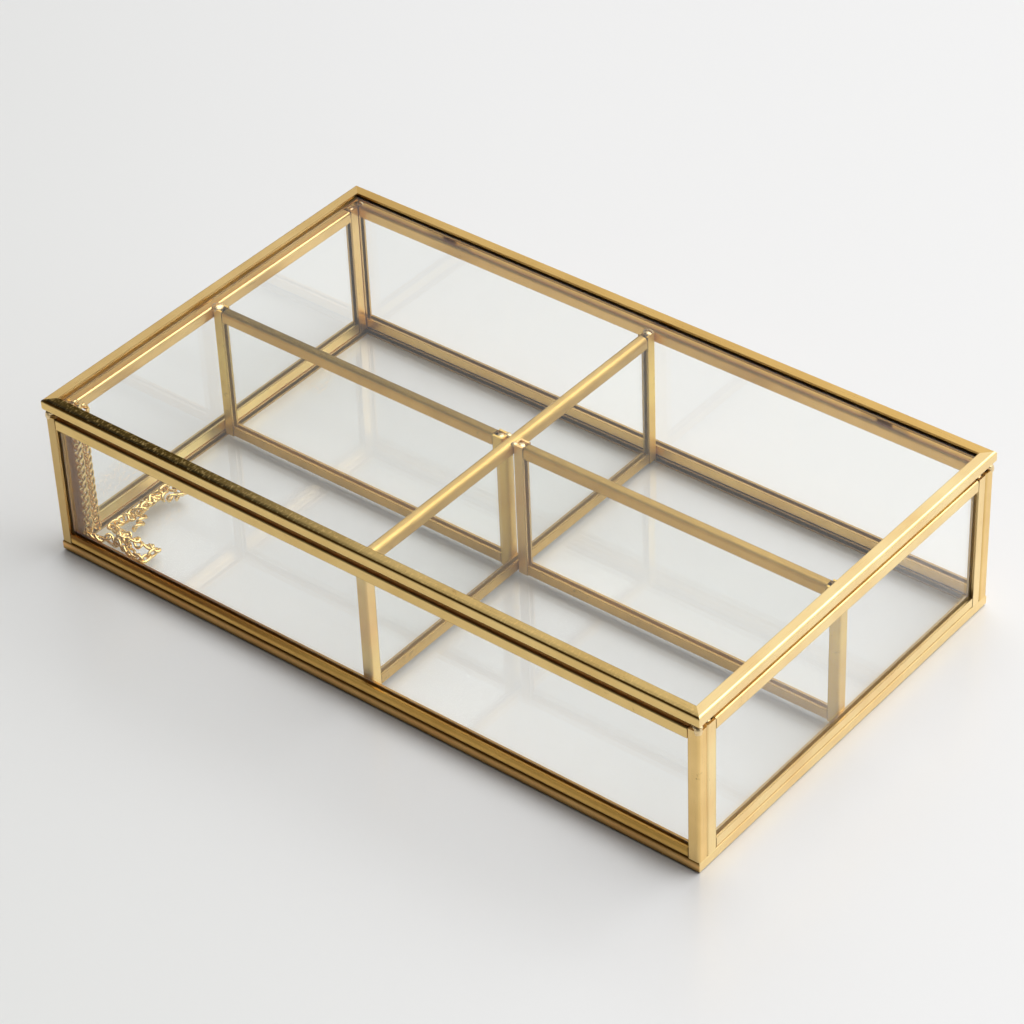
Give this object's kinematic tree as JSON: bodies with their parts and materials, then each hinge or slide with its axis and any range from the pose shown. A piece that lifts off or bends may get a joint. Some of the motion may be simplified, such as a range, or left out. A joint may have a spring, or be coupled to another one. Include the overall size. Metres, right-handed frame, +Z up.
{
  "type": "jewelry box",
  "caption": "Shallow clear-glass jewelry box edged in brass channel, with a hinged framed glass lid held by a stay chain and upright glass dividers that make compartments.",
  "frame": {"origin": "middle of the box's footprint, on the surface it stands on", "axes": "+X to the right along the long side, +Y to the rear where the hinges are, +Z up"},
  "size_m": [0.22, 0.1334, 0.0516],
  "materials": {
    "brass_channel": "satin, brushed",
    "divider_channel": "satin with dark patina in the folds",
    "solder_bead": "bright, smooth",
    "brass_hinge": "satin",
    "brass_chain": "polished",
    "clear_glass": "clear, polished"
  },
  "bodies": {
    "box": {"base_front_bar": "brass_channel", "base_glass": "clear_glass", "base_left_bar": "brass_channel", "base_rear_bar": "brass_channel", "base_right_bar": "brass_channel", "chain_body_peg": "brass_chain", "corner_beads": "solder_bead", "cross_divider_bottom_rail": "divider_channel", "cross_divider_front_stile": "divider_channel", "cross_divider_glass": "clear_glass", "cross_divider_rear_stile": "divider_channel", "cross_divider_top_rail": "divider_channel", "front_bottom_rail": "brass_channel", "front_glass": "clear_glass", "front_left_stile": "brass_channel", "front_right_stile": "brass_channel", "front_top_rail": "brass_channel", "hinge_body_knuckles": "brass_hinge", "hinge_pins": "brass_hinge", "left_bottom_rail": "brass_channel", "left_divider_bottom_rail": "divider_channel", "left_divider_glass": "clear_glass", "left_divider_inner_stile": "divider_channel", "left_divider_outer_stile": "divider_channel", "left_divider_top_rail": "divider_channel", "left_front_stile": "brass_channel", "left_glass": "clear_glass", "left_rear_stile": "brass_channel", "left_top_rail": "brass_channel", "rear_bottom_rail": "brass_channel", "rear_glass": "clear_glass", "rear_left_stile": "brass_channel", "rear_right_stile": "brass_channel", "rear_top_rail": "brass_channel", "right_bottom_rail": "brass_channel", "right_divider_bottom_rail": "divider_channel", "right_divider_glass": "clear_glass", "right_divider_inner_stile": "divider_channel", "right_divider_outer_stile": "divider_channel", "right_divider_top_rail": "divider_channel", "right_front_stile": "brass_channel", "right_glass": "clear_glass", "right_rear_stile": "brass_channel", "right_top_rail": "brass_channel"},
    "chain_drop": {"chain_drop": "brass_chain"},
    "chain_front_back": {"chain_front_back": "brass_chain"},
    "chain_front_out": {"chain_front_out": "brass_chain"},
    "chain_front_turn": {"chain_front_turn": "brass_chain"},
    "lid": {"chain_lid_peg": "brass_chain", "hinge_lid_knuckles": "brass_hinge", "lid_front_bar": "brass_channel", "lid_glass": "clear_glass", "lid_left_bar": "brass_channel", "lid_rear_bar": "brass_channel", "lid_right_bar": "brass_channel"},
    "chain_side_back": {"chain_side_back": "brass_chain"},
    "chain_side_out": {"chain_side_out": "brass_chain"},
    "chain_side_turn": {"chain_side_turn": "brass_chain"},
    "chain_tail": {"chain_tail": "brass_chain"}
  },
  "joints": [
    {"name": "lid_hinge", "type": "hinge", "parent": "box", "child": "lid", "pos_m": [0, 0.0667, 0.0472], "axis": [-1, 0, 0], "range_deg": [0, 89.92]},
    {"name": "chain_drop_pivot", "type": "hinge", "parent": "lid", "child": "chain_drop", "pos_m": [-0.10425, -0.05855, 0.04743], "axis": [1, 0, 0], "range_deg": [0, 46.66]},
    {"name": "chain_front_out_pivot", "type": "hinge", "parent": "chain_drop", "child": "chain_front_out", "pos_m": [-0.10425, -0.05855, 0.00445], "axis": [0, 1, 0], "range_deg": [0, 90.5]},
    {"name": "chain_front_turn_pivot", "type": "hinge", "parent": "chain_front_out", "child": "chain_front_turn", "pos_m": [-0.08402, -0.05855, 0.00445], "axis": [0, 0, -1], "range_deg": [0, 90.5]},
    {"name": "chain_front_back_pivot", "type": "hinge", "parent": "chain_front_turn", "child": "chain_front_back", "pos_m": [-0.08402, -0.05277, 0.00445], "axis": [0, 0, -1], "range_deg": [0, 90.5]},
    {"name": "chain_side_out_pivot", "type": "hinge", "parent": "chain_front_back", "child": "chain_side_out", "pos_m": [-0.10136, -0.05277, 0.00445], "axis": [0, 0, 1], "range_deg": [0, 90.5]},
    {"name": "chain_side_turn_pivot", "type": "hinge", "parent": "chain_side_out", "child": "chain_side_turn", "pos_m": [-0.10136, -0.02965, 0.00445], "axis": [0, 0, 1], "range_deg": [0, 90.5]},
    {"name": "chain_side_back_pivot", "type": "hinge", "parent": "chain_side_turn", "child": "chain_side_back", "pos_m": [-0.09558, -0.02965, 0.00445], "axis": [0, 0, 1], "range_deg": [0, 90.5]},
    {"name": "chain_tail_pivot", "type": "hinge", "parent": "box", "child": "chain_tail", "pos_m": [-0.10425, -0.05566, 0.0446], "axis": [1, 0, 0], "range_deg": [0, 136.74]}
  ],
  "couplings": [
    {"joint": "chain_drop_pivot", "follows": "lid_hinge", "ratio": 0.51339},
    {"joint": "chain_front_out_pivot", "follows": "lid_hinge", "ratio": 1.0009},
    {"joint": "chain_front_turn_pivot", "follows": "lid_hinge", "ratio": 1.0009},
    {"joint": "chain_front_back_pivot", "follows": "lid_hinge", "ratio": 1.0009},
    {"joint": "chain_side_out_pivot", "follows": "lid_hinge", "ratio": 1.0009},
    {"joint": "chain_side_turn_pivot", "follows": "lid_hinge", "ratio": 1.0009},
    {"joint": "chain_side_back_pivot", "follows": "lid_hinge", "ratio": 1.0009},
    {"joint": "chain_tail_pivot", "follows": "lid_hinge", "ratio": 1.5152}
  ]
}
